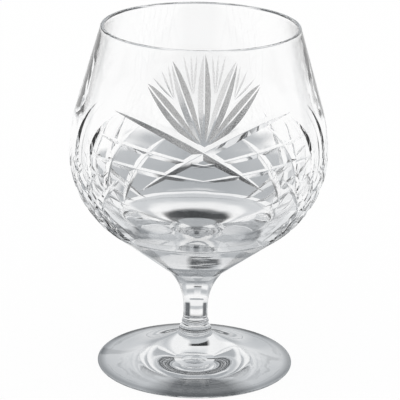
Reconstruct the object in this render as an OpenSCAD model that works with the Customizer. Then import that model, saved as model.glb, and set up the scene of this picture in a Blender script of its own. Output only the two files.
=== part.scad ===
// Brandy snifter in cut crystal: a blown bowl on a drawn stem, a ringed collar and a pressed foot.
// Millimetres, +Z up, origin on the table under the middle of the foot, front of the bowl towards -Y.

/* [Bowl] */
// Height of the rim above the table
rim_height = 130; // [100:0.5:170]
// Outside radius of the rim
rim_radius = 36.3; // [25:0.1:50]
// Thickness of the rounded rim
rim_thickness = 1.5; // [1:0.1:3]
// Outside radius at the widest circle
belly_radius = 47.25; // [35:0.05:65]
// Share of the bowl's height from its seat up to the widest circle
belly_share = 0.495; // [0.35:0.001:0.6]
// Wall thickness at the widest circle
belly_wall = 3.6; // [2.5:0.1:6]
// Radius of the outside wall curve above the widest circle, as a share of one single arc up to the rim
shoulder_share = 0.58; // [0.4:0.01:0.95]
// Radius of the outside wall curve below the widest circle, as a share of one single arc down to the seat
under_share = 0.78; // [0.6:0.001:0.95]
// Radius of the inside wall curve above the widest circle, as a share of one single arc up to the rim
inner_shoulder_share = 0.46; // [0.3:0.01:0.95]
// Radius of the inside wall curve below the widest circle, as a share of one single arc down to the floor
inner_under_share = 0.9; // [0.6:0.01:0.95]
// Radius of the flat floor of the hollow, as a share of the outside radius level with it
floor_share = 0.837825; // [0.5:0.000001:0.9]
// Thickness of the glass under that floor
base_thickness = 19; // [8:0.1:22]
// Radius of the round face under the bowl that the stem is joined to
seat_radius = 10.5; // [8:0.1:14]
// Height of that face above the table
seat_height = 37; // [30:0.5:50]

/* [Cutting] */
// Half of the angle of the V that the cutting wheel leaves
wheel_half_angle = 63; // [50:1:72]
// Share of the full depth in the cuts that cross earlier ones
crossing_share = 0.92; // [0.8:0.01:0.98]
// How far each cutter stands clear of the glass
overrun = 0.8; // [0.4:0.1:1.5]
// Share of the way from the widest circle up to the rim at the root of the fan
fan_root_share = 0.306; // [0.2:0.001:0.5]
// Share of that way at the tip of the middle leaf
leaf_tip_share = 0.98; // [0.6:0.001:0.98]
// Number of leaves on each side of the middle leaf
side_leaves = 2; // [1:1:3]
// Angle between neighbouring leaves
leaf_spread = 23.5; // [15:0.5:30]
// Share of its length that a leaf loses beside the middle one, times its count from there squared
leaf_loss_share = 0.02; // [0:0.01:0.06]
// Distance from the root to the start of each leaf
leaf_start = 2; // [1:0.1:4]
// Depth of each leaf at its deepest point
leaf_depth = 1.05; // [0.5:0.05:1.4]
// Share of the leaf's length from the root to the deepest point
leaf_deep_share = 0.45; // [0.3:0.05:0.7]
// Depth of the two long swags that cross at the root of the fan
swag_depth = 1.1; // [0.5:0.05:1.4]
// Angle from the fan to the upper end of a long swag
swag_top_angle = 46; // [30:1:60]
// Share of the way from the widest circle up to the rim at the upper end of a long swag
swag_top_share = 0.5; // [0.3:0.001:0.7]
// Angle from the fan to the middle of a long swag
swag_middle_angle = 9; // [0:0.5:20]
// Share of that way at the middle of a long swag
swag_middle_share = 0.347; // [0.2:0.001:0.5]
// Angle from the fan to the lower end of a long swag
swag_low_angle = 27; // [15:1:40]
// Share of the way from the seat up to the widest circle at the lower end of a long swag
swag_low_share = 0.956; // [0.8:0.001:0.999]
// Number of finer swags below each long one
tiers = 2; // [1:1:2]
// Depth of the finer swags
tier_depth = 0.6; // [0.3:0.05:1]
// Angle from the fan to the outer end of a finer swag
tier_top_angle = 57; // [45:1:65]
// Share of the way from the widest circle up to the rim at the outer end of the first finer swag
tier_top_share = 0.315; // [0.25:0.001:0.4]
// What the next finer swag has less of that share
tier_top_step_share = 0.183; // [0.12:0.001:0.2]
// Angle from the fan to the middle of a finer swag
tier_middle_angle = 26; // [20:1:32]
// Share of the way from the widest circle up to the rim at the middle of the first finer swag
tier_middle_share = 0.251; // [0.2:0.001:0.35]
// What the next finer swag has less of that share
tier_middle_step_share = 0.143; // [0.1:0.001:0.16]
// Angle from the fan to the inner end of a finer swag, past the middle of the panel
tier_low_angle = 5; // [2:0.5:10]
// Share of the way from the widest circle up to the rim at the inner end of the first finer swag
tier_low_share = 0.166; // [0.12:0.001:0.25]
// What the next finer swag has less of that share
tier_low_step_share = 0.115; // [0.08:0.001:0.12]
// Number of falling arcs on each side of the panel below the fan
arcs = 4; // [1:1:4]
// Depth of the falling arcs
arc_depth = 0.7; // [0.3:0.05:1]
// Angle from the fan to the top of the first arc
arc_top_angle = 16; // [10:0.5:30]
// Angle from there to the top of the next arc
arc_top_step = 14.5; // [10:0.5:18]
// Share of the way from the widest circle up to the rim at the top of the first arc
arc_top_share = 0.383; // [0.2:0.001:0.6]
// What the next arc has more of that share
arc_top_step_share = 0.043; // [0:0.001:0.06]
// Angle from the fan to the middle of the first arc
arc_middle_angle = 29; // [20:0.5:40]
// Angle from there to the middle of the next arc
arc_middle_step = 13.5; // [10:0.5:16]
// Share of the way from the widest circle up to the rim at the middle of the first arc
arc_middle_share = 0.149; // [0.05:0.001:0.3]
// What the next arc has more of that share
arc_middle_step_share = 0.026; // [0:0.001:0.05]
// Angle from the fan to the foot of the first arc
arc_low_angle = 36; // [25:0.5:50]
// Angle from there to the foot of the next arc
arc_low_step = 9.5; // [8:0.5:14]
// Share of the way from the seat up to the widest circle at the feet of the arcs
arc_low_share = 0.826; // [0.6:0.001:0.95]
// Angle from the fan to the middle of each of the two diamond fields
field_turn = 90; // [75:1:100]
// Number of crossed cuts each way in a diamond field
diamond_cuts = 6; // [3:1:8]
// Angle between neighbouring crossed cuts
diamond_step = 13.6; // [9:0.1:20]
// Depth of the crossed cuts
diamond_depth = 1.3; // [0.6:0.05:1.6]
// Angle that a crossed cut runs to each side of its middle
diamond_run = 19; // [10:0.5:30]
// Share of the way from the widest circle up to the rim at the upper ends of the crossed cuts
diamond_top_share = 0.021; // [0.001:0.001:0.2]
// Share of the way from the seat up to the widest circle at the middles of the crossed cuts
diamond_middle_share = 0.652; // [0.5:0.001:0.75]
// Share of that way at the lower ends of the crossed cuts
diamond_low_share = 0.304; // [0.15:0.001:0.4]

/* [Stem] */
// Radius of the stem at its waist
stem_radius = 4.5; // [3.5:0.05:8]
// Height of the waist, where the flare towards the bowl begins
waist_height = 22; // [19:0.5:30]

/* [Collar] */
// Height of the top of the collar, where the stem stands
collar_top = 17.8; // [14:0.1:25]
// Outside radius of the upper ring
upper_ring_radius = 5; // [4:0.05:9]
// Radius of the upper ring's rounding
upper_ring_round = 1.1; // [0.6:0.05:2]
// Outside radius of the lower ring
lower_ring_radius = 6.05; // [5:0.05:12]
// Radius of the lower ring's rounding
lower_ring_round = 1.9; // [1:0.05:3]

/* [Foot] */
// Outside radius of the foot
foot_radius = 36.3; // [25:0.1:50]
// Radius of the foot's rounded edge
edge_round = 0.8; // [0.5:0.05:1.5]
// Height of the top of the foot, where the collar sits
boss_height = 11.6; // [8:0.1:18]
// Radius of the top of the foot
boss_radius = 6.6; // [5:0.05:12]
// How far the upper side of the foot sags below a straight cone
foot_sag = 1.6; // [0.5:0.1:3]
// Height of the hollow under the foot
hollow_height = 2.4; // [1:0.1:5]
// Radius of the hollow under the foot, as a share of the radius up to the rounded edge
hollow_share = 0.93; // [0.6:0.01:0.95]

/* [Part] */
// Piece to draw

/* [Hidden] */
$fn = 144;
shallow_facets = 4 * $fn;
lip = rim_thickness / 2;
lip_height = rim_height - lip;
belly_height = seat_height + belly_share * (rim_height - seat_height);
inner_belly = belly_radius - belly_wall;
inner_rim = rim_radius - rim_thickness;
floor_height = seat_height + base_thickness;
shoulder_curve = shoulder_share * single_arc(belly_radius - rim_radius, lip_height - belly_height);
under_curve = under_share * single_arc(belly_radius - seat_radius, belly_height - seat_height);
inner_shoulder_curve = inner_shoulder_share * single_arc(inner_belly - inner_rim, lip_height - belly_height);
shoulder_axis = belly_radius - shoulder_curve;
under_axis = belly_radius - under_curve;
inner_shoulder_axis = inner_belly - inner_shoulder_curve;
shoulder_angle = tangent_up([rim_radius - shoulder_axis, lip_height - belly_height], shoulder_curve);
under_angle = -tangent_up([seat_radius - under_axis, belly_height - seat_height], under_curve);
inner_angle = tangent_up([inner_rim - inner_shoulder_axis, lip_height - belly_height], inner_shoulder_curve);
shoulder_height = belly_height + shoulder_curve * sin(shoulder_angle);
shoulder_radius = shoulder_axis + shoulder_curve * cos(shoulder_angle);
under_height = belly_height + under_curve * sin(under_angle);
under_radius = under_axis + under_curve * cos(under_angle);
inner_height = belly_height + inner_shoulder_curve * sin(inner_angle);
inner_radius = inner_shoulder_axis + inner_shoulder_curve * cos(inner_angle);
floor_radius = floor_share * wall_radius(floor_height);
inner_under_curve = inner_under_share * single_arc(inner_belly - floor_radius, belly_height - floor_height);
inner_under_axis = inner_belly - inner_under_curve;
inner_under_angle =
    -tangent_up([floor_radius - inner_under_axis, belly_height - floor_height], inner_under_curve);
inner_under_height = belly_height + inner_under_curve * sin(inner_under_angle);
inner_under_radius = inner_under_axis + inner_under_curve * cos(inner_under_angle);
flare_rise = seat_height - waist_height;
flare_reach = seat_radius - stem_radius;
flare_curve = single_arc(flare_reach, flare_rise);
upper_ring_height = collar_top - upper_ring_round;
lower_ring_height = boss_height + lower_ring_round;
foot_run = [foot_radius - edge_round - boss_radius, 2 * edge_round - boss_height];
foot_middle = [boss_radius, boss_height] + foot_run / 2;
foot_curve = single_arc(foot_sag, norm(foot_run) / 2);
foot_axis = foot_middle + [-foot_run[1], foot_run[0]] * (foot_curve - foot_sag) / norm(foot_run);
hollow_curve = single_arc(hollow_height, hollow_share * (foot_radius - edge_round));
fan_root_height = above(fan_root_share);
leaf_length = (above(leaf_tip_share) - fan_root_height) / cos(wall_lean(fan_root_height));

// Radius of the arc that starts along a line and, after a run along it, has left it by a reach
function single_arc(reach, run) = (reach * reach + run * run) / (2 * reach);

// Height at a share of the way from the widest circle up to the rim
function above(share) = belly_height + share * (rim_height - belly_height);

// Height at a share of the way from the seat up to the widest circle
function below(share) = seat_height + share * (belly_height - seat_height);

// Angle on a circle of radius r at which a line from the point p touches it
function tangent_up(p, r) = atan2(p[1], p[0]) - acos(r / norm(p));

// Angle of the outside wall's normal above the horizontal at height z
function wall_lean(z) =
    z > shoulder_height ? shoulder_angle :
    z > belly_height ? asin((z - belly_height) / shoulder_curve) :
    z > under_height ? asin((z - belly_height) / under_curve) : under_angle;

// Radius of the outside wall at height z
function wall_radius(z) =
    z > shoulder_height ? shoulder_radius - (z - shoulder_height) * tan(shoulder_angle) :
    z > belly_height ? shoulder_axis + shoulder_curve * cos(wall_lean(z)) :
    z > under_height ? under_axis + under_curve * cos(wall_lean(z)) :
    under_radius - (z - under_height) * tan(under_angle);

// Outward normal of the wall at p, an angle from the front and a height
function wall_normal(p) =
    let (lean = wall_lean(p[1]))
    [cos(lean) * sin(p[0]), -cos(lean) * cos(p[0]), sin(lean)];

// Point of the wall at p, sunk into the glass by a depth
function wall_point(p, depth) =
    let (r = wall_radius(p[1]))
    [r * sin(p[0]), -r * cos(p[0]), p[1]] - depth * wall_normal(p);

// Place reached from p by going a distance along the wall, at an angle from straight up
function wall_walk(p, heading, distance) =
    let (z = p[1] + distance * cos(heading) * cos(wall_lean(p[1])))
    [p[0] + distance * sin(heading) / wall_radius((p[1] + z) / 2) * 180 / PI, z];

// Depth of a cut: those that lean to one side are made first, at full depth
function cut_depth(depth, side) = side > 0 ? depth : crossing_share * depth;

// Place on the wall mirrored to one side
function mirrored(p, side) = [side * p[0], p[1]];

// One wheel cut: a V swept along the circle that leaves the wall at both ends and is deepest in the middle
module mitre(start, middle, finish, depth) {
    p = wall_point(start, 0);
    q = wall_point(middle, depth);
    s = wall_point(finish, 0);
    a = p - s;
    b = q - s;
    across = cross(a, b);
    centre = s + cross((a * a) * b - (b * b) * a, across) / (2 * across * across);
    radius = norm(q - centre);
    x = (q - centre) / radius;
    z = across / norm(across);
    y = cross(z, x);
    normal = wall_normal(middle);
    lean = atan2(normal * z, normal * x);
    slant = (depth + overrun) / cos(wheel_half_angle);
    from = atan2((p - centre) * y, (p - centre) * x);
    to = atan2((s - centre) * y, (s - centre) * x);
    margin = sign(to - from) * atan(overrun / radius);
    multmatrix([
        [x[0], y[0], z[0], centre[0]],
        [x[1], y[1], z[1], centre[1]],
        [x[2], y[2], z[2], centre[2]]
    ])
    rotate([0, 0, min(from - margin, to + margin)])
    rotate_extrude(angle = abs(to - from + 2 * margin))
    polygon([
        [radius, 0],
        [radius + slant * cos(lean - wheel_half_angle), slant * sin(lean - wheel_half_angle)],
        [radius + slant * cos(lean + wheel_half_angle), slant * sin(lean + wheel_half_angle)]
    ]);
}

// Leaf of the fan, counted from the middle one
module leaf(i) {
    root = [0, fan_root_height];
    length = leaf_length * (1 - leaf_loss_share * i * i);
    mitre(
        wall_walk(root, i * leaf_spread, leaf_start),
        wall_walk(root, i * leaf_spread, leaf_deep_share * length),
        wall_walk(root, i * leaf_spread, length),
        leaf_depth
    );
}

// Long swag that falls past the root of the fan
module swag(side)
    mitre(
        mirrored([-swag_top_angle, above(swag_top_share)], side),
        mirrored([-swag_middle_angle, above(swag_middle_share)], side),
        mirrored([swag_low_angle, below(swag_low_share)], side),
        cut_depth(swag_depth, side)
    );

// Finer swag below the long one
module tier(i, side)
    mitre(
        mirrored([-tier_top_angle, above(tier_top_share - i * tier_top_step_share)], side),
        mirrored([-tier_middle_angle, above(tier_middle_share - i * tier_middle_step_share)], side),
        mirrored([tier_low_angle, above(tier_low_share - i * tier_low_step_share)], side),
        cut_depth(tier_depth, side)
    );

// Arc that falls beside the panel below the fan
module falling_arc(i, side)
    mitre(
        mirrored([arc_top_angle + i * arc_top_step, above(arc_top_share + i * arc_top_step_share)], side),
        mirrored(
            [arc_middle_angle + i * arc_middle_step, above(arc_middle_share + i * arc_middle_step_share)],
            side
        ),
        mirrored([arc_low_angle + i * arc_low_step, below(arc_low_share)], side),
        arc_depth
    );

// One of the crossed cuts of a diamond field
module diamond_cut(i, side, turn) {
    at = (i - (diamond_cuts - 1) / 2) * diamond_step;
    mitre(
        [turn + side * (at - diamond_run), above(diamond_top_share)],
        [turn + side * at, below(diamond_middle_share)],
        [turn + side * (at + diamond_run), below(diamond_low_share)],
        cut_depth(diamond_depth, side)
    );
}

// Half section of the outside of the bowl
module bowl_outside() {
    intersection() {
        translate([under_axis, belly_height]) circle(under_curve);
        translate([0, under_height - overrun])
            square([belly_radius, belly_height - under_height + 2 * overrun]);
    }
    intersection() {
        translate([shoulder_axis, belly_height]) circle(shoulder_curve);
        translate([0, belly_height]) square([belly_radius, shoulder_height - belly_height + overrun]);
    }
    polygon([
        [0, shoulder_height],
        [shoulder_radius, shoulder_height],
        [rim_radius, lip_height],
        [0, lip_height]
    ]);
    polygon([[0, seat_height], [seat_radius, seat_height], [under_radius, under_height], [0, under_height]]);
}

// Half section of the hollow of the bowl
module bowl_inside() {
    intersection() {
        translate([inner_under_axis, belly_height]) circle(inner_under_curve);
        translate([0, inner_under_height - overrun])
            square([inner_belly, belly_height - inner_under_height + 2 * overrun]);
    }
    polygon([
        [0, floor_height],
        [floor_radius, floor_height],
        [inner_under_radius, inner_under_height],
        [0, inner_under_height]
    ]);
    intersection() {
        translate([inner_shoulder_axis, belly_height]) circle(inner_shoulder_curve);
        translate([0, belly_height]) square([inner_belly, inner_height - belly_height + overrun]);
    }
    polygon([
        [0, inner_height],
        [inner_radius, inner_height],
        [inner_rim, lip_height],
        [inner_rim, rim_height + overrun],
        [0, rim_height + overrun]
    ]);
}

// Blown bowl before cutting, with its rounded rim
module blank() rotate_extrude() {
    difference() {
        bowl_outside();
        bowl_inside();
    }
    translate([rim_radius - lip, lip_height]) circle(lip);
}

// The cutter's work, one family of cuts after another on the same blank
module fan_cut() difference() {
    children();
    for (i = [-side_leaves : side_leaves]) leaf(i);
}

module swag_cut(side) difference() {
    children();
    swag(side);
}

module tier_cut(side) difference() {
    children();
    for (i = [0 : tiers - 1]) tier(i, side);
}

module arc_cut() difference() {
    children();
    for (side = [-1, 1], i = [0 : arcs - 1]) falling_arc(i, side);
}

module diamonds_cut(side) difference() {
    children();
    for (turn = [-field_turn, field_turn], i = [0 : diamond_cuts - 1]) diamond_cut(i, side, turn);
}

module bowl() color([0.86, 0.90, 0.93, 0.5])
    fan_cut() swag_cut(-1) swag_cut(1) tier_cut(-1) tier_cut(1) arc_cut()
    diamonds_cut(-1) diamonds_cut(1) blank();

module stem() color([0.80, 0.85, 0.90, 0.5]) rotate_extrude() difference() {
    translate([0, collar_top]) square([seat_radius, seat_height - collar_top]);
    translate([stem_radius + flare_curve, waist_height]) circle(flare_curve);
    translate([stem_radius, collar_top - overrun]) square([seat_radius, waist_height - collar_top + overrun]);
}

module collar() color([0.74, 0.82, 0.88, 0.5]) rotate_extrude() {
    translate([0, boss_height]) square([stem_radius, collar_top - boss_height]);
    translate([upper_ring_radius - upper_ring_round, upper_ring_height]) circle(upper_ring_round);
    translate([lower_ring_radius - lower_ring_round, lower_ring_height]) circle(lower_ring_round);
}

module foot() color([0.78, 0.84, 0.90, 0.5]) rotate_extrude() {
    difference() {
        square([foot_radius - edge_round, boss_height]);
        translate(foot_axis) circle(foot_curve, $fn = shallow_facets);
        translate([0, hollow_height - hollow_curve]) circle(hollow_curve, $fn = shallow_facets);
    }
    translate([foot_radius - edge_round, edge_round]) circle(edge_round);
}

bowl();
stem();
collar();
foot();
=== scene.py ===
import math

import bmesh
import bpy
from mathutils import Matrix, Vector


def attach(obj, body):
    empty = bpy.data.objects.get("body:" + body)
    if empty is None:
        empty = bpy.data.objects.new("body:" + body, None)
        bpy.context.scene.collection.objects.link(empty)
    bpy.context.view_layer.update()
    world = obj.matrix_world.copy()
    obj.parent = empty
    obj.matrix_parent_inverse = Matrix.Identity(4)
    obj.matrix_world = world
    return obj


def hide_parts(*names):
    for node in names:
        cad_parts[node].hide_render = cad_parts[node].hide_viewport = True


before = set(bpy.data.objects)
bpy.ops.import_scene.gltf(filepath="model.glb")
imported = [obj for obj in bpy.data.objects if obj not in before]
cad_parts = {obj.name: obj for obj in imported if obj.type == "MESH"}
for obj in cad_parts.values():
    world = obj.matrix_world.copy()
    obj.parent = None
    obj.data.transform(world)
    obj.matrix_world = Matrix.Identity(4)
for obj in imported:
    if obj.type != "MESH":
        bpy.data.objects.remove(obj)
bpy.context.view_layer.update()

mm = 0.001

# Bowl
# Blown lead crystal with a thick base and a fire-polished rim, fused to the stem at its flat seat.
# The wall is drawn as one half section and spun, as the glass is turned on the pipe.
rim_height, rim_radius, rim_thickness = 130 * mm, 36.3 * mm, 1.5 * mm
belly_radius, belly_wall, belly_share = 47.25 * mm, 3.6 * mm, 0.495
seat_radius, seat_height = 10.5 * mm, 37 * mm
base_thickness, floor_share, floor_edge_round = 19 * mm, 0.68, 3 * mm
shoulder_share, under_share = 0.58, 0.78
inner_shoulder_share, inner_under_share = 0.46, 0.9
facets_round, join_distance, level_slack = 288, 1e-7, 1e-6
lip = rim_thickness / 2
lip_height = rim_height - lip
belly_height = seat_height + belly_share * (rim_height - seat_height)
inner_belly, inner_rim = belly_radius - belly_wall, rim_radius - rim_thickness
floor_radius, floor_height = floor_share * inner_belly, seat_height + base_thickness
shoulder_rise = lip_height - belly_height
under_drop, floor_drop = belly_height - seat_height, belly_height - floor_height


def single_arc(reach, run):
    """Radius of one arc that is upright at the belly and comes in by the reach over the run."""
    return (reach ** 2 + run ** 2) / (2 * reach)


def tangent_angle(x, z, radius):
    """Angle from the belly at which a straight wall to the point leaves the arc."""
    return math.atan2(z, x) - math.acos(radius / math.hypot(x, z))


shoulder_curve = shoulder_share * single_arc(belly_radius - rim_radius, shoulder_rise)
under_curve = under_share * single_arc(belly_radius - seat_radius, under_drop)
inner_shoulder_curve = inner_shoulder_share * single_arc(inner_belly - inner_rim, shoulder_rise)
inner_under_curve = inner_under_share * single_arc(inner_belly - floor_radius, floor_drop)
shoulder_axis, under_axis = belly_radius - shoulder_curve, belly_radius - under_curve
inner_shoulder_axis = inner_belly - inner_shoulder_curve
inner_under_axis = inner_belly - inner_under_curve
shoulder_angle = tangent_angle(rim_radius - shoulder_axis, shoulder_rise, shoulder_curve)
under_angle = tangent_angle(seat_radius - under_axis, under_drop, under_curve)
inner_angle = tangent_angle(inner_rim - inner_shoulder_axis, shoulder_rise, inner_shoulder_curve)
floor_angle = tangent_angle(floor_radius - inner_under_axis, floor_drop, inner_under_curve)
floor_edge_run = floor_edge_round * math.tan((math.pi / 2 - floor_angle) / 2)


def draw_line(bm, last, x, z, steps=1):
    here = last.co.copy()
    for i in range(1, steps + 1):
        last = bmesh.ops.extrude_vert_indiv(bm, verts=[last])["verts"][0]
        last.co = here.lerp(Vector((x, 0, z)), i / steps)
    return last


def draw_arc(bm, last, x, z, angle, steps):
    arc = bmesh.ops.spin(bm, geom=[last], cent=(x, 0, z), axis=(0, -1, 0), angle=angle, steps=steps)
    return arc["geom_last"][0]


def spin_glass(name, bm, seams):
    """Spins a half section into a closed piece. Flat faces at the seam heights get the second material."""
    bmesh.ops.spin(bm, geom=bm.verts[:] + bm.edges[:], cent=(0, 0, 0), axis=(0, 0, 1),
                   angle=math.tau, steps=facets_round, use_merge=True)
    bmesh.ops.remove_doubles(bm, verts=bm.verts, dist=join_distance)
    bmesh.ops.recalc_face_normals(bm, faces=bm.faces)
    for face in bm.faces:
        face.smooth = True
        if any(all(abs(v.co.z - z) < level_slack for v in face.verts) for z in seams):
            face.material_index = 1
    mesh = bpy.data.meshes.new(name)
    bm.to_mesh(mesh)
    bm.free()
    piece = bpy.data.objects.new(name, mesh)
    bpy.context.scene.collection.objects.link(piece)
    return piece


outline = bmesh.new()
point = outline.verts.new((0, 0, seat_height))
point = draw_line(outline, point, seat_radius, seat_height, steps=4)
point = draw_line(outline, point, under_axis + under_curve * math.cos(under_angle),
                  belly_height - under_curve * math.sin(under_angle), steps=14)
point = draw_arc(outline, point, under_axis, belly_height, under_angle, steps=26)
point = draw_arc(outline, point, shoulder_axis, belly_height, shoulder_angle, steps=14)
point = draw_line(outline, point, rim_radius, lip_height, steps=22)
point = draw_arc(outline, point, rim_radius - lip, lip_height, math.pi, steps=10)
point = draw_line(outline, point, inner_shoulder_axis + inner_shoulder_curve * math.cos(inner_angle),
                  belly_height + inner_shoulder_curve * math.sin(inner_angle), steps=22)
point = draw_arc(outline, point, inner_shoulder_axis, belly_height, -inner_angle, steps=10)
point = draw_arc(outline, point, inner_under_axis, belly_height, -floor_angle, steps=20)
point = draw_line(outline, point, floor_radius + floor_edge_run * math.sin(floor_angle),
                  floor_height + floor_edge_run * math.cos(floor_angle), steps=8)
point = draw_arc(outline, point, floor_radius - floor_edge_run, floor_height + floor_edge_round,
                 floor_angle - math.pi / 2, steps=14)
point = draw_line(outline, point, 0, floor_height, steps=8)
bowl = spin_glass("bowl_glass", outline, [seat_height])

# Cutting on the bowl
# A fan of five leaves with fine lines between them, two long crossed swags, finer swags and falling arcs,
# and a field of crossed cuts on each side. Each cut is the V that one wheel leaves in the wall. The cuts are
# polished, but most sides of the leaves, the fine lines and the lower side of one swag stay matt. The matt
# sides are painted grey: the right sides of the leaves and that lower side in a dark painted shade, and the
# left sides of the inner leaves and the fine lines in a paler grey, which on the leaves is their lit side.
wheel_half_angle, wheel_overrun = math.radians(63), 0.8 * mm
wheel_step, fewest_steps = math.radians(2.5), 6
broad_edge, plain_edge, fine_edge = 0.55 * mm, 0.15 * mm, 0.05 * mm
right_and_up = Vector((3, 0, 2))
cut_sharpness = math.radians(16)
# Where the finishes of a cut's sides stand among the bowl's materials. The matt side is painted dark grey as
# shade, and the pale side a lighter grey.
polished_side, shade_painted_side, pale_side = 2, 3, 4


def wall_lean(z):
    if z > belly_height + shoulder_curve * math.sin(shoulder_angle):
        return shoulder_angle
    if z > belly_height:
        return math.asin((z - belly_height) / shoulder_curve)
    return max(math.asin(max(-1, (z - belly_height) / under_curve)), -under_angle)


def wall_radius(z):
    lean = wall_lean(z)
    axis, curve = (shoulder_axis, shoulder_curve) if lean > 0 else (under_axis, under_curve)
    return axis + curve * math.cos(lean) - (z - belly_height - curve * math.sin(lean)) * math.tan(lean)


# A place on the wall is given in degrees round from the front, and in millimetres above the table.
def wall_normal(place):
    angle, z = math.radians(place[0]), place[1] * mm
    lean = wall_lean(z)
    return Vector((math.cos(lean) * math.sin(angle), -math.cos(lean) * math.cos(angle), math.sin(lean)))


def wall_point(place, depth=0):
    angle, z = math.radians(place[0]), place[1] * mm
    r = wall_radius(z)
    return Vector((r * math.sin(angle), -r * math.cos(angle), z)) - depth * wall_normal(place)


def wall_walk(place, heading, distance):
    z = place[1] + distance * math.cos(heading) * math.cos(wall_lean(place[1] * mm))
    r = wall_radius((place[1] + z) / 2 * mm) / mm
    return place[0] + math.degrees(distance * math.sin(heading) / r), z


def above(share):
    """Height at this share of the way from the belly up to the rim."""
    return (belly_height + share * (rim_height - belly_height)) / mm


def below(share):
    """Height at this share of the way from the seat up to the belly."""
    return (seat_height + share * under_drop) / mm


def wheel_cut(bm, start, middle, finish, depth, edge=plain_edge, sides=(polished_side, polished_side)):
    """Sweeps the wheel's V along the circle that leaves the wall at both ends and is deepest in the middle.
    The sides are the materials of its left or lower side and of its right or upper side."""
    depth = depth * mm
    p, q, s = wall_point(start), wall_point(middle, depth), wall_point(finish)
    a, b = p - s, q - s
    across = a.cross(b)
    centre = s + (a.dot(a) * b - b.dot(b) * a).cross(across) / (2 * across.dot(across))
    radius = (q - centre).length
    x, z = (q - centre) / radius, across.normalized()
    if z.dot(right_and_up) < 0:
        z = -z
    y = z.cross(x)
    normal = wall_normal(middle)
    lean = math.atan2(normal.dot(z), normal.dot(x))
    slant = (depth + wheel_overrun) / math.cos(wheel_half_angle)
    begin = math.atan2((p - centre).dot(y), (p - centre).dot(x))
    end = math.atan2((s - centre).dot(y), (s - centre).dot(x))
    margin = math.copysign(math.atan(wheel_overrun / radius), end - begin)
    begin, end = begin - margin, end + margin
    ray = math.cos(begin) * x + math.sin(begin) * y
    corners = []
    for side in (-1, 1):
        bottom = centre + radius * ray + side * edge / 2 * (math.cos(lean) * z - math.sin(lean) * ray)
        tilt = lean + side * wheel_half_angle
        top = bottom + slant * (math.cos(tilt) * ray + math.sin(tilt) * z)
        corners += [bottom, top] if side > 0 else [top, bottom]
    profile = bm.faces.new([bm.verts.new(corner) for corner in corners])
    profile.smooth = True
    before = set(bm.faces)
    bmesh.ops.spin(bm, geom=[profile], cent=centre, axis=z, angle=end - begin,
                   steps=max(fewest_steps, math.ceil(abs(end - begin) / wheel_step)))
    for face in set(bm.faces) - before:
        face.material_index = sides[(face.calc_center_median() - centre).dot(z) > 0]
        if all((v.co - centre).project(z).length < edge
               and abs((v.co - centre).cross(z).length - radius) < edge for v in face.verts):
            face.material_index = polished_side


def cut_family(cuts):
    """Cuts one family of grooves that don't cross each other into the bowl."""
    wheels = bmesh.new()
    for cut in cuts:
        wheel_cut(wheels, *cut)
    bmesh.ops.recalc_face_normals(wheels, faces=wheels.faces)
    mesh = bpy.data.meshes.new("wheels")
    wheels.to_mesh(mesh)
    wheels.free()
    cutter = bpy.data.objects.new("wheels", mesh)
    bpy.context.scene.collection.objects.link(cutter)
    for finish in bowl.data.materials:
        mesh.materials.append(finish)
    cut = bowl.modifiers.new("cut", "BOOLEAN")
    cut.operation, cut.solver, cut.object = "DIFFERENCE", "MANIFOLD", cutter
    done = bpy.data.meshes.new_from_object(bowl.evaluated_get(bpy.context.evaluated_depsgraph_get()))
    bowl.modifiers.clear()
    old, bowl.data = bowl.data, done
    bpy.data.meshes.remove(old)
    bpy.data.objects.remove(cutter)
    bpy.data.meshes.remove(mesh)


def mirrored(side, *places):
    return tuple((side * angle, z) for angle, z in places)


crystal, seam, polished, matt_painted_shade, pale = [
    bpy.data.materials.new(name)
    for name in ("clear_crystal", "fused_seam", "polished_cut", "matt_cut_painted_shade", "pale_cut")]
for finish in (crystal, seam, polished, matt_painted_shade, pale):
    bowl.data.materials.append(finish)

# The fan: its root, then each leaf's spread, length and deepest place. Outer leaves are a little shorter.
fan_root, fan_top = (0, above(0.306)), above(0.98)
leaf_spread, leaf_start, leaf_depth = math.radians(23.5), 2, 1.05
leaf_middle_share, leaf_loss_share, outer_leaf = 0.45, 0.02, 2
leaf_length = (fan_top - fan_root[1]) / math.cos(wall_lean(fan_root[1] * mm))
leaves = []
for i in range(-outer_leaf, outer_leaf + 1):
    length = (1 - leaf_loss_share * i * i) * leaf_length
    # The inner leaves' left sides take the pale grey of a painted lit side, and every leaf's right side
    # takes the matt grey of painted shade.
    left_side = polished_side if abs(i) == outer_leaf else pale_side
    leaves.append((*(wall_walk(fan_root, i * leaf_spread, distance)
                     for distance in (leaf_start, leaf_middle_share * length, length)),
                   leaf_depth, broad_edge, (left_side, shade_painted_side)))
cut_family(leaves)

# Of two crossed cuts the second is a little shallower. Only the first swag keeps a matt lower side, painted
# dark grey as shade.
crossed = ((1, 1), (-1, 0.92))
swag = ((-46, above(0.5)), (-9, above(0.347)), (27, below(0.956)))
swag_depth, finer_depth, arc_depth, field_depth = 1.1, 0.6, 0.7, 1.3
for side, share in crossed:
    lower_side = shade_painted_side if side > 0 else polished_side
    cut_family([(*mirrored(side, *swag), swag_depth * share, plain_edge, (lower_side, polished_side))])

# Finer swags: angle, share of the height above the belly, and its drop to the next swag.
finer_swag, finer_swags = ((-57, 0.315, 0.183), (-26, 0.251, 0.143), (5, 0.166, 0.115)), 2
for side, share in crossed:
    cut_family([(*mirrored(side, *((angle, above(high - i * drop)) for angle, high, drop in finer_swag)),
                 finer_depth * share) for i in range(finer_swags)])

# Falling arcs: angle and share of the height above the belly at the top and the middle of the front one,
# each with its step to the next arc. Then the angle at the foot, its step, and the height of all the feet.
arc_top, arc_middle, arc_foot, arcs = (16, 14.5, 0.383, 0.043), (29, 13.5, 0.149, 0.026), (36, 9.5), 4
arc_foot_height = below(0.826)


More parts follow.
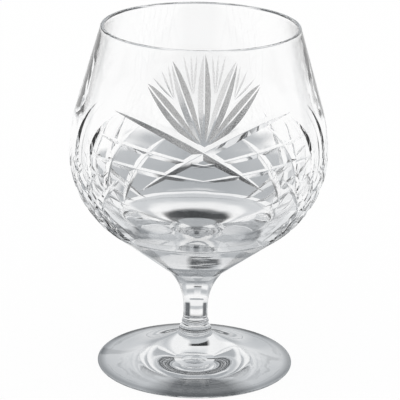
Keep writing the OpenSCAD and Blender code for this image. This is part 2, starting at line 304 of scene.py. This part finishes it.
def falling_arc(i):
    places = [(angle + i * turn, above(share + i * rise))
              for angle, turn, share, rise in (arc_top, arc_middle)]
    return *places, (arc_foot[0] + i * arc_foot[1], arc_foot_height)


cut_family([(*mirrored(side, *falling_arc(i)), arc_depth) for side in (-1, 1) for i in range(arcs)])

# Side fields: six cuts each way, each one leaning over by its sweep from top to bottom.
fields, field_pitch, field_sweep, field_cuts = (-90, 90), 13.6, 19, 6
field_top, field_middle, field_bottom = above(0.021), below(0.652), below(0.304)
for side, share in crossed:
    cuts = []
    for field in fields:
        for i in range(field_cuts):
            at = field_pitch * (i - (field_cuts - 1) / 2)
            cuts.append(((field + side * (at - field_sweep), field_top), (field + side * at, field_middle),
                         (field + side * (at + field_sweep), field_bottom), field_depth * share))
    cut_family(cuts)

# Fine lines between the leaves: where each bunch starts, and where its three lines end.
line_depth, line_shares = 0.17, (0.06, 0.55, 1)
line_bunches = (((14.2, 113), ((26.8, 119.8), (23, 122.8), (19.5, 124.7))),
                ((5.3, 114.4), ((11.6, 128.4), (7.5, 128.5), (4.2, 128.6))))
for i in range(len(line_bunches[0][1])):
    lines = []
    for side in (-1, 1):
        for start, tips in line_bunches:
            places = [Vector(start).lerp(Vector(tips[i]), share) for share in line_shares]
            lines.append((*mirrored(side, *places), line_depth, fine_edge, (pale_side, pale_side)))
    cut_family(lines)
bowl.data.set_sharp_from_angle(angle=cut_sharpness)


def add_node(tree, kind, *values, **named):
    """Adds a node. Its sockets are filled in order or by name, and a socket given as a value is linked."""
    node = tree.nodes.new("ShaderNode" + kind)
    for key, value in [*enumerate(values), *named.items()]:
        socket = node.inputs[key if isinstance(key, int) else key.replace("_", " ")]
        if isinstance(value, bpy.types.NodeSocket):
            tree.links.new(value, socket)
        else:
            socket.default_value = value
    return node


# Each finish: grains per metre, height of its waves, and the range of its roughness and of its grey. The
# matt grey is painted shade, and the pale grey is a lighter painted tone for the lit sides of the leaves and
# for the fine lines.
crystal_bending, grain_detail, grain_low, grain_high = 1.545, 3, 0.35, 0.65
finishes = ((crystal, 28, 0.3 * mm, (0, 0), (0.985, 1)),
            (polished, 900, 0.004 * mm, (0, 0.05), (0.96, 1)),
            (matt_painted_shade, 2600, 0.02 * mm, (0.12, 0.3), (0.16, 0.3)),
            (pale, 2600, 0.02 * mm, (0.12, 0.3), (0.5, 0.65)))
for glass, grains, wave, roughness, grey in finishes:
    glass.use_nodes = True
    tree = glass.node_tree
    shader = tree.nodes["Principled BSDF"]
    shader.inputs["IOR"].default_value = crystal_bending
    shader.inputs["Transmission Weight"].default_value = 1
    spot = add_node(tree, "TexCoord").outputs["Object"]
    noise = add_node(tree, "TexNoise", Vector=spot, Scale=grains, Detail=grain_detail).outputs[0]
    for socket, (low, high) in (("Roughness", roughness), ("Base Color", grey)):
        level = add_node(tree, "MapRange", Value=noise, From_Min=grain_low, From_Max=grain_high,
                         To_Min=low, To_Max=high)
        tree.links.new(level.outputs[0], shader.inputs[socket])
    bump = add_node(tree, "Bump", Strength=1, Distance=wave, Height=noise)
    tree.links.new(bump.outputs[0], shader.inputs["Normal"])
seam.use_nodes = True
seam.node_tree.nodes["Principled BSDF"].inputs["Alpha"].default_value = 0
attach(bowl, "root")
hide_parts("bowl")

# Stem
# A drawn rod of the same crystal that flares out to meet the bowl.
# It is fused to the bowl's seat and to the top of the collar.
stem_radius, waist_height, collar_top = 4.5 * mm, 22 * mm, 17.8 * mm
turned_sharpness = math.radians(30)
flare_rise, flare_reach = seat_height - waist_height, seat_radius - stem_radius
flare_curve = single_arc(flare_reach, flare_rise)
outline = bmesh.new()
point = outline.verts.new((0, 0, collar_top))
point = draw_line(outline, point, stem_radius, collar_top, steps=3)
point = draw_line(outline, point, stem_radius, waist_height, steps=4)
point = draw_arc(outline, point, stem_radius + flare_curve, waist_height,
                 -math.asin(flare_rise / flare_curve), steps=36)
point = draw_line(outline, point, 0, seat_height, steps=4)
stem = spin_glass("stem_glass", outline, [seat_height, collar_top])
for finish in (crystal, seam):
    stem.data.materials.append(finish)
stem.data.set_sharp_from_angle(angle=turned_sharpness)
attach(stem, "root")
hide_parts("stem")

# Collar
# Two rounded rings of crystal pressed round the foot of the stem while hot.
# It is fused to the stem above and to the boss of the foot below.
upper_ring_radius, upper_ring_round = 5.0 * mm, 1.1 * mm
lower_ring_radius, lower_ring_round, boss_height = 6.05 * mm, 1.9 * mm, 11.6 * mm


def ring_reach(radius, rounding):
    """Angle from the ring's equator to where its rounding meets the stem's radius."""
    return math.acos((stem_radius - radius + rounding) / rounding)


upper_reach = ring_reach(upper_ring_radius, upper_ring_round)
lower_reach = ring_reach(lower_ring_radius, lower_ring_round)
lower_height, upper_height = boss_height + lower_ring_round, collar_top - upper_ring_round
upper_foot = upper_height - upper_ring_round * math.sin(upper_reach)
collar_seat, upper_core = lower_ring_radius - lower_ring_round, upper_ring_radius - upper_ring_round
outline = bmesh.new()
point = outline.verts.new((0, 0, boss_height))
point = draw_line(outline, point, collar_seat, boss_height, steps=3)
point = draw_arc(outline, point, collar_seat, lower_height, math.pi / 2, steps=14)
point = draw_arc(outline, point, collar_seat, lower_height, lower_reach, steps=12)
point = draw_line(outline, point, stem_radius, upper_foot, steps=2)
point = draw_arc(outline, point, upper_core, upper_height, 2 * upper_reach, steps=16)
point = draw_line(outline, point, stem_radius, collar_top)
point = draw_line(outline, point, 0, collar_top, steps=3)
collar = spin_glass("collar_glass", outline, [boss_height, collar_top])
for finish in (crystal, seam):
    collar.data.materials.append(finish)
collar.data.set_sharp_from_angle(angle=turned_sharpness)
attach(collar, "root")
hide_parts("collar")

# Foot
# A pressed round foot of crystal with a rounded edge, a sagging upper side and a shallow hollow below.
# The collar is fused to the middle of its boss, and it stands on the flat ring round the hollow.
foot_radius, edge_round = 36.3 * mm, 0.8 * mm
boss_radius, foot_sag = 6.6 * mm, 1.6 * mm
hollow_height, hollow_share = 2.4 * mm, 0.93
hollow_radius = hollow_share * (foot_radius - edge_round)
run_x, run_z = foot_radius - edge_round - boss_radius, 2 * edge_round - boss_height
run = math.hypot(run_x, run_z)
foot_curve = single_arc(foot_sag, run / 2)
foot_axis_x = boss_radius + run_x / 2 - run_z / run * (foot_curve - foot_sag)
foot_axis_z = boss_height + run_z / 2 + run_x / run * (foot_curve - foot_sag)
hollow_curve = single_arc(hollow_height, hollow_radius)
outline = bmesh.new()
point = outline.verts.new((0, 0, boss_height))
point = draw_line(outline, point, collar_seat, boss_height, steps=3)
point = draw_line(outline, point, boss_radius, boss_height, steps=3)
point = draw_arc(outline, point, foot_axis_x, foot_axis_z, 2 * math.asin(run / 2 / foot_curve), steps=60)
point = draw_arc(outline, point, foot_radius - edge_round, edge_round, -math.pi, steps=14)
point = draw_line(outline, point, hollow_radius, 0, steps=8)
point = draw_arc(outline, point, 0, hollow_height - hollow_curve,
                 math.asin(hollow_radius / hollow_curve), steps=40)
foot = spin_glass("foot_glass", outline, [])
for face in foot.data.polygons:
    if abs(face.center.z - boss_height) < level_slack and face.center.xy.length < collar_seat:
        face.material_index = 1
for finish in (crystal, seam):
    foot.data.materials.append(finish)
foot.data.set_sharp_from_angle(angle=turned_sharpness)
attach(foot, "root")
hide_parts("foot")

# Table
# A white table top. The camera sees it plain white with a trace of the glass's shadow. The glass sees it
# glowing in painted light and shade, by distance from the middle of the foot and by angle from straight
# behind the glass: painted shadow under the foot, a ring of painted contact shadow round its edge, a band of
# painted light just behind it, a dim front and lighter sides.
table_half, table_reach, table_grey, table_glow_share = 3, 500, 0.95, 0.94
camera_turn = math.radians(-2.3)


def math_node(tree, operation, *terms):
    node = add_node(tree, "Math", *terms)
    node.operation = operation
    return node.outputs[0]


def tones(tree, value, reach, stops, cool=0.08):
    """Greys along a measure, given as places and greys. Darker greys are a little cooler."""
    ramp = add_node(tree, "ValToRGB", math_node(tree, "DIVIDE", value, reach))
    steps = ramp.color_ramp.elements
    while len(steps) < len(stops):
        steps.new(0.5)
    for step, (place, grey) in zip(steps, stops):
        tint = cool * (1 - grey)
        step.position = place / reach
        step.color = (grey * (1 - tint), grey, grey * (1 + tint), 1)
    return ramp.outputs["Color"]


def round_the_glass(tree, place, value, reach, front, zones):
    """Tones of the front, and of each zone that fades in over its degrees from straight behind the glass."""
    angle = math_node(tree, "ARCTAN2", place.outputs["X"], place.outputs["Y"])
    angle = math_node(tree, "WRAP", math_node(tree, "SUBTRACT", angle, camera_turn), -math.pi, math.pi)
    angle = math_node(tree, "DEGREES", math_node(tree, "ABSOLUTE", angle))
    color = tones(tree, value, reach, front)
    for start, end, stops in zones:
        mix = add_node(tree, "Mix", add_node(tree, "MapRange", angle, start, end).outputs[0])
        mix.data_type = "RGBA"
        first_color, second_color, mixed_color = mix.inputs[6], mix.inputs[7], mix.outputs[2]
        tree.links.new(color, first_color)
        tree.links.new(tones(tree, value, reach, stops), second_color)
        color = mixed_color
    return color


def seen_by_glass(tree):
    path = add_node(tree, "LightPath").outputs
    return math_node(tree, "MAXIMUM", path["Is Glossy Ray"], path["Is Transmission Ray"])


# Millimetres from the middle of the foot, and grey. The dark steps between about 34 and 49 mm are painted
# contact shadow, and the white step behind at 52 to 58 mm is painted light.
table_front = ((0, 0.05), (34, 0.12), (40, 0.02), (49, 0.02), (70, 0.18), (110, 0.45), (300, 0.6))
table_sides = ((0, 0.1), (20, 0.65), (33, 0.5), (34.5, 0.25), (42, 0.25), (46, 0.1), (50, 0.75), (85, 0.8),
               (110, 1), (500, 1))
table_flanks = ((0, 0.3), (33, 0.5), (34.5, 0.02), (48, 0.02), (52, 0.12), (98, 0.12), (116, 0.8),
                (160, 0.95), (500, 1))
table_behind = ((0, 0.4), (33, 0.35), (34.5, 0.02), (48, 0.02), (52, 1), (58, 1), (63, 0.6), (72, 0.6),
                (78, 0.95), (165, 0.95), (178, 0.4), (245, 0.45), (265, 1), (500, 1))
table_zones = ((160, 142, table_sides), (60, 45, table_flanks), (27, 20, table_behind))
table_mesh = bpy.data.meshes.new("table")
sheet = bmesh.new()
bmesh.ops.create_grid(sheet, x_segments=1, y_segments=1, size=table_half)
sheet.to_mesh(table_mesh)
sheet.free()
table = bpy.data.objects.new("table", table_mesh)
bpy.context.scene.collection.objects.link(table)
table_white_and_painted_light = bpy.data.materials.new("table_white_and_painted_light")
table_white_and_painted_light.use_nodes = True
tree = table_white_and_painted_light.node_tree
tree.nodes.clear()
spot = add_node(tree, "TexCoord").outputs["Object"]
away = add_node(tree, "VectorMath", spot)
away.operation = "LENGTH"
away = math_node(tree, "DIVIDE", away.outputs["Value"], mm)
place = add_node(tree, "SeparateXYZ", spot)
# The painted light and shade that the glass sees on the table, given off by the table itself.
painted_table_light_and_shade = round_the_glass(tree, place, away, table_reach, table_front, table_zones)
glow = add_node(tree, "Emission", painted_table_light_and_shade).outputs[0]
paint = add_node(tree, "BsdfDiffuse", (table_grey, table_grey, table_grey, 1)).outputs[0]
lift = add_node(tree, "Emission", Strength=1).outputs[0]
plain = add_node(tree, "MixShader", table_glow_share, paint, lift).outputs[0]
surface = add_node(tree, "MixShader", seen_by_glass(tree), plain, glow).outputs[0]
add_node(tree, "OutputMaterial", surface)
table.data.materials.append(table_white_and_painted_light)

# Studio and camera
# A white tent round the table. Seen directly and as light it is plain white. The glass sees it in tones by
# height: lit sides and backdrop, a dim front where the camera stands, and a dark rail behind.
tent_reach = 90

# Degrees above the table, and grey.
tent_front = ((0, 0.6), (27, 0.6), (38, 0.15), (60, 0.26), (90, 0.5))
tent_sides = ((0, 1), (20, 0.95), (27, 0.7), (38, 0.55), (60, 0.35), (90, 0.3))
tent_flanks = ((0, 0.8), (10, 0.6), (27, 0.5), (38, 0.4), (60, 0.5), (90, 0.3))
tent_corners = ((0, 0.9), (5, 0.5), (10, 0.5), (15, 0.95), (24, 0.95), (27, 0.75), (60, 0.65), (90, 0.35))
tent_behind = ((0, 1), (5, 0.8), (10, 0.6), (17, 0.6), (17.6, 0), (20, 0), (20.5, 0.9), (28, 0.7), (40, 0.5),
               (90, 0.35))
tent_zones = ((165, 145, tent_sides), (62, 50, tent_flanks), (35, 28, tent_corners), (11, 7, tent_behind))
scene = bpy.context.scene
studio = bpy.data.worlds.new("studio")
scene.world = studio
studio.use_nodes = True
tree = studio.node_tree
tree.nodes.clear()
heading = add_node(tree, "SeparateXYZ", add_node(tree, "TexCoord").outputs["Generated"])
rise = math_node(tree, "DEGREES", math_node(tree, "ARCSINE", heading.outputs["Z"]))
tent_tones = round_the_glass(tree, heading, rise, tent_reach, tent_front, tent_zones)
glow = add_node(tree, "Background", tent_tones).outputs[0]
plain = add_node(tree, "Background", (1, 1, 1, 1)).outputs[0]
sky = add_node(tree, "MixShader", seen_by_glass(tree), plain, glow).outputs[0]
add_node(tree, "OutputWorld", sky)

photo_pixels, focal_pixels, shift_right_pixels, shift_up_pixels = 400, 2422.28, 2.342, -2.996
camera_distance, aim_height = 890.6 * mm, 65 * mm
camera_pitch, camera_roll = math.radians(18.185), math.radians(1.137)
glass_bounces, glint_bounces = 32, 16
camera_data = bpy.data.cameras.new("camera")
camera = bpy.data.objects.new("camera", camera_data)
scene.collection.objects.link(camera)
scene.camera = camera
aim = Vector((0, 0, aim_height))
camera.location = aim + camera_distance * Vector((math.cos(camera_pitch) * math.sin(camera_turn),
                                                  -math.cos(camera_pitch) * math.cos(camera_turn),
                                                  math.sin(camera_pitch)))
look = (aim - camera.location).to_track_quat("-Z", "Y").to_matrix().to_4x4()
camera.rotation_euler = (look @ Matrix.Rotation(camera_roll, 4, "Z")).to_euler()
camera_data.lens = camera_data.sensor_width * focal_pixels / photo_pixels
camera_data.shift_x, camera_data.shift_y = shift_right_pixels / photo_pixels, shift_up_pixels / photo_pixels

scene.view_settings.view_transform = "Standard"
scene.cycles.max_bounces = glass_bounces
scene.cycles.transmission_bounces = glass_bounces
scene.cycles.glossy_bounces = glint_bounces
scene.cycles.transparent_max_bounces = glass_bounces
